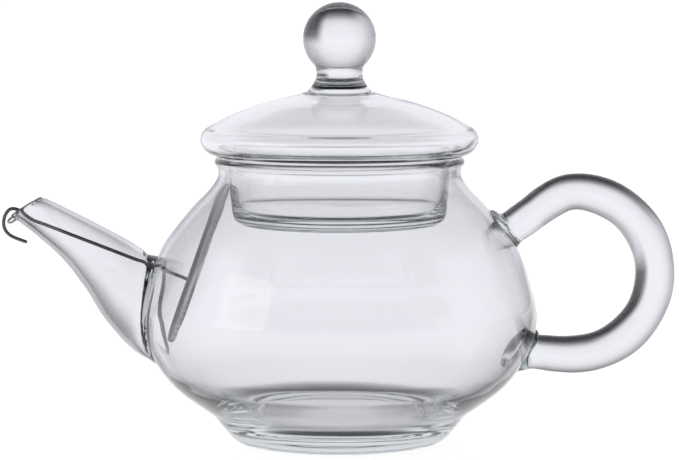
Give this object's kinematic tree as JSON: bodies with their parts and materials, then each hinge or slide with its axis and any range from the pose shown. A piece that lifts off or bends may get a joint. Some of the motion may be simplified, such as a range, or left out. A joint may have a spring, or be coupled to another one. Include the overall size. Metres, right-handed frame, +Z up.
{
  "type": "glass teapot",
  "caption": "Small clear glass teapot: round body on a foot ring, tapered spout, solid rod handle, lift-off domed lid and a coiled steel filter hooked over the spout's lip.",
  "frame": {"origin": "centre of the foot, on the surface that the teapot stands on", "axes": "+Z up along the body's axis, +X towards the handle, the spout along -X"},
  "size_m": [0.1528, 0.09, 0.0998],
  "materials": {
    "body_glass": "clear blown glass, fire polished",
    "rod_glass": "clear solid glass rod, fire polished",
    "lid_glass": "clear blown glass, fire polished",
    "spring_steel": "fine drawn stainless spring wire",
    "wire_steel": "drawn stainless wire"
  },
  "bodies": {
    "pot": {"body_shell": "body_glass", "foot_ring": "body_glass", "spout": "body_glass", "handle": "rod_glass", "handle_upper_pad": "rod_glass", "handle_lower_pad": "rod_glass"},
    "lid": {"lid_dome": "lid_glass", "lid_collar": "lid_glass", "lid_knob": "rod_glass"},
    "filter": {"filter_coil": "spring_steel", "filter_wire": "wire_steel"}
  },
  "joints": [
    {"name": "lid_lift", "type": "slide", "parent": "pot", "child": "lid", "axis": [0, 0, 1], "range_m": [0, 0.04]},
    {"name": "filter_twist", "type": "hinge", "parent": "pot", "child": "filter", "pos_m": [-0.0324, 0, 0.0396], "axis": [-0.9371, 0, 0.349], "range_deg": [-8, 8]}
  ]
}
